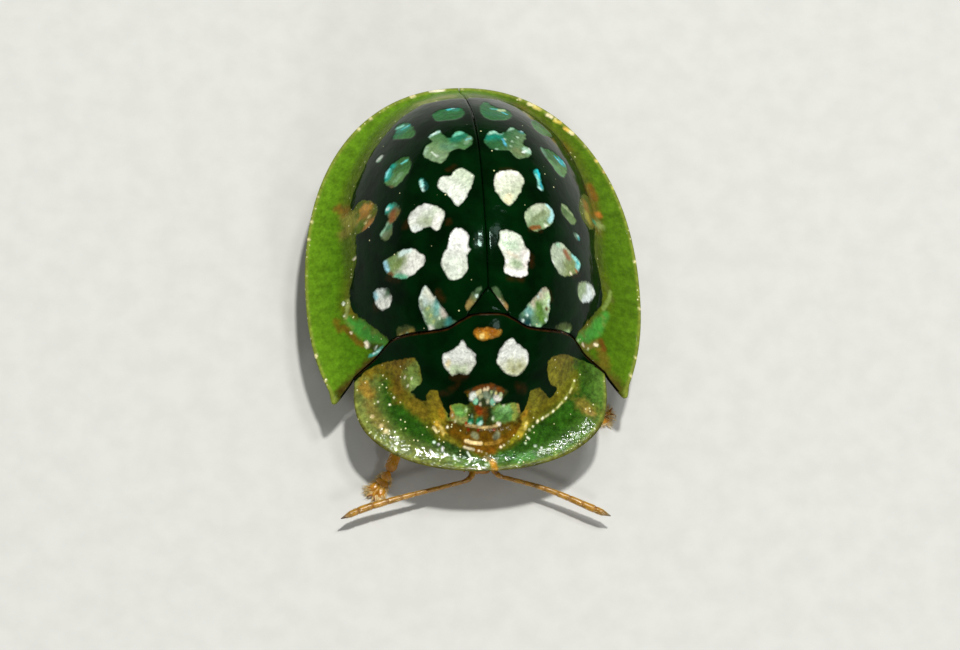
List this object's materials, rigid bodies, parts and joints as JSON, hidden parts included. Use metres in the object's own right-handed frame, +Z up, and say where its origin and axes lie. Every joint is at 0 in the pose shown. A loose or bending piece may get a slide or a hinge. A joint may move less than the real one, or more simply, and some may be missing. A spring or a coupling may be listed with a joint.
{
  "type": "tortoise beetle",
  "caption": "Life-size model of a live tortoise beetle: a black dome with silver-gold spots, a clear green-gold margin and head shield, feelers and feet reaching out in front",
  "frame": {"origin": "middle of the box on the ground the feet stand on", "axes": "+Z up, head toward -Y, the beetle's left side toward +X"},
  "size_m": [0.0054, 0.0074, 0.0033],
  "materials": {
    "wing_case": "glossy black cuticle with hammered silver-gold spots and a clear olive-green margin",
    "pronotum_shield": "clear amber-green cuticle with a black patch and two silver spots",
    "underside": "shiny brown cuticle",
    "head_capsule": "shiny amber cuticle",
    "compound_eye": "dark faceted eye",
    "feeler": "amber cuticle, darker and downy toward the tip",
    "leg": "amber cuticle with pale hairs on the feet"
  },
  "bodies": {
    "root": {"elytron_left": "wing_case", "elytron_right": "wing_case", "scutellum": "wing_case", "pronotum": "pronotum_shield", "prothorax": "underside", "hind_thorax": "underside", "abdomen": "underside", "head": "head_capsule", "eye_left": "compound_eye", "eye_right": "compound_eye", "antenna_left": "feeler", "antenna_right": "feeler", "leg_front_left_femur": "leg", "leg_front_left_tibia": "leg", "leg_front_left_tarsus": "leg", "leg_front_right_femur": "leg", "leg_front_right_tibia": "leg", "leg_front_right_tarsus": "leg", "leg_middle_left_femur": "leg", "leg_middle_left_tibia": "leg", "leg_middle_left_tarsus": "leg", "leg_middle_right_femur": "leg", "leg_middle_right_tibia": "leg", "leg_middle_right_tarsus": "leg", "leg_hind_left_femur": "leg", "leg_hind_left_tibia": "leg", "leg_hind_left_tarsus": "leg", "leg_hind_right_femur": "leg", "leg_hind_right_tibia": "leg", "leg_hind_right_tarsus": "leg"}
  },
  "joints": []
}
